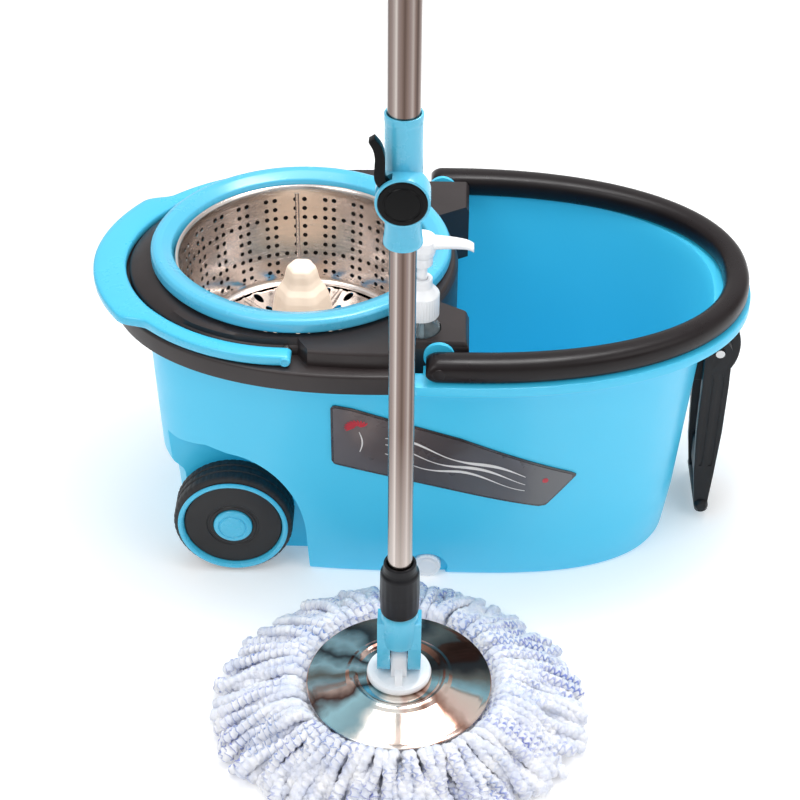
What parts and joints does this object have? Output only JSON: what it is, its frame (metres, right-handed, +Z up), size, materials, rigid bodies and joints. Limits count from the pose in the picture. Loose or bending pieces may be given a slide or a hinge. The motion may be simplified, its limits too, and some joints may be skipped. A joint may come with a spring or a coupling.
{
  "type": "spin mop with bucket",
  "caption": "Wheeled oval bucket with a spin-dry basket, folding carry handles, tow handle and soap pump, and a telescopic mop with a swivel strand head.",
  "frame": {"origin": "middle of the bucket's flat underside, on the floor", "axes": "+Z up, +X along the bucket towards the tow handle, -Y towards the mop and the badge"},
  "size_m": [0.5609, 0.5789, 1.202],
  "materials": {
    "tub_plastic": "moulded polypropylene, light satin gloss",
    "ring_plastic": "moulded polypropylene, gloss",
    "rim_plastic": "moulded polypropylene, gloss",
    "black_plastic": "textured black polypropylene",
    "drum_steel": "perforated stainless sheet, bright rolled finish",
    "disc_steel": "polished stainless disc",
    "pole_steel": "polished stainless tube",
    "pin_steel": "plain steel",
    "cone_plastic": "ivory moulded plastic",
    "clear_plastic": "clear PET, slightly frosted",
    "white_plastic": "white moulded plastic",
    "tyre_rubber": "black moulded tread",
    "seal_rubber": "soft seal",
    "label_film": null,
    "strand_fibre": "microfibre chenille strands, white with blue threads"
  },
  "bodies": {
    "bucket": {"tub_shell": "tub_plastic", "spinner_deck": "black_plastic", "splash_ring": "ring_plastic", "basket_spindle": "pin_steel", "spindle_nut": "pin_steel", "carry_pin_front": "pin_steel", "carry_pin_rear": "pin_steel", "deck_handle_pin_front": "pin_steel", "deck_handle_pin_rear": "pin_steel", "wheel_axle_front": "pin_steel", "wheel_axle_rear": "pin_steel", "tow_bracket": "black_plastic", "tow_pin": "pin_steel", "tow_screw_lower": "pin_steel", "tow_screw_upper": "pin_steel", "drain_seal": "seal_rubber", "badge_plate": "label_film"},
    "basket": {"basket_drum": "drum_steel", "hub_plate": "clear_plastic", "basket_hub_cone": "cone_plastic", "basket_lower_flange": "white_plastic", "spindle_bush": "white_plastic"},
    "carry_loop": {"carry_handle": "black_plastic"},
    "deck_bail": {"deck_handle": "ring_plastic"},
    "tow_frame": {"tow_handle": "black_plastic"},
    "wheel_front": {"tyre_front": "tyre_rubber", "wheel_rim_front": "rim_plastic", "hub_disc_front": "black_plastic", "centre_cap_front": "rim_plastic"},
    "wheel_rear": {"tyre_rear": "tyre_rubber", "wheel_rim_rear": "rim_plastic", "hub_disc_rear": "black_plastic", "centre_cap_rear": "rim_plastic"},
    "drain": {"drain_cap": "white_plastic"},
    "soap_unit": {"soap_bottle": "clear_plastic", "pump_collar": "white_plastic", "dip_tube": "white_plastic"},
    "pump_plunger": {"pump_stem": "white_plastic", "pump_head": "white_plastic"},
    "mop_head": {"strand_ring": "strand_fibre", "head_plate": "white_plastic", "disc_cover": "disc_steel", "head_hub": "white_plastic"},
    "lower_mop": {"yoke": "ring_plastic", "pivot_pin": "pin_steel", "pole_sleeve": "black_plastic", "lower_pole": "pole_steel", "drive_nut": "white_plastic"},
    "pole_guide": {"guide_bush": "black_plastic"},
    "upper_mop": {"upper_pole": "pole_steel", "rod_plug": "black_plastic", "twist_rod": "pin_steel", "pole_grip": "black_plastic", "lock_collar": "ring_plastic", "lever_cap": "black_plastic", "lever_pin": "pin_steel"},
    "lock": {"lock_lever": "black_plastic"}
  },
  "joints": [
    {"name": "basket_spin", "type": "hinge", "parent": "bucket", "child": "basket", "pos_m": [-0.1093, 0, 0.163], "axis": [0, 0, 1], "continuous": true},
    {"name": "carry_handle_swing", "type": "hinge", "parent": "bucket", "child": "carry_loop", "pos_m": [0.01, 0, 0.2464], "axis": [0, 1, 0], "range_deg": [-90, 0]},
    {"name": "deck_handle_swing", "type": "hinge", "parent": "bucket", "child": "deck_bail", "pos_m": [-0.1132, 0, 0.2488], "axis": [0, 1, 0], "range_deg": [0, 90]},
    {"name": "tow_handle_swing", "type": "hinge", "parent": "bucket", "child": "tow_frame", "pos_m": [0.2515, 0, 0.185], "axis": [0, -1, 0], "range_deg": [0, 90]},
    {"name": "wheel_front_spin", "type": "hinge", "parent": "bucket", "child": "wheel_front", "pos_m": [-0.1655, -0.104, 0.052], "axis": [0, 1, 0], "continuous": true},
    {"name": "wheel_rear_spin", "type": "hinge", "parent": "bucket", "child": "wheel_rear", "pos_m": [-0.1655, 0.104, 0.052], "axis": [0, 1, 0], "continuous": true},
    {"name": "drain_cap_pull", "type": "slide", "parent": "bucket", "child": "drain", "axis": [0, -1, 0], "range_m": [0, 0.018]},
    {"name": "soap_bottle_lift", "type": "slide", "parent": "bucket", "child": "soap_unit", "axis": [0, 0, 1], "range_m": [0, 0.1]},
    {"name": "pump_press", "type": "slide", "parent": "soap_unit", "child": "pump_plunger", "axis": [0, 0, -1], "range_m": [0, 0.012], "stiffness_N_per_m": 300, "springref_m": -0.003},
    {"name": "mop_lift", "type": "slide", "parent": "bucket", "child": "mop_head", "axis": [0, 0, 1], "range_m": [0, 0.4]},
    {"name": "yoke_tilt", "type": "hinge", "parent": "mop_head", "child": "lower_mop", "pos_m": [-0.0165, -0.29, 0.071], "axis": [1, 0, 0], "range_deg": [-25, 80]},
    {"name": "pole_spin", "type": "hinge", "parent": "lower_mop", "child": "pole_guide", "pos_m": [-0.0165, -0.29, 0.706], "axis": [0, 0, 1], "continuous": true},
    {"name": "pole_slide", "type": "slide", "parent": "pole_guide", "child": "upper_mop", "axis": [0, 0, 1], "range_m": [-0.2, 0]},
    {"name": "lock_lever_flip", "type": "hinge", "parent": "upper_mop", "child": "lock", "pos_m": [-0.0165, -0.307, 0.5046], "axis": [0, 1, 0], "range_deg": [-70, 0]}
  ],
  "couplings": [
    {"joint": "pole_spin", "follows": "pole_slide", "rad_per_m": 62.832}
  ]
}
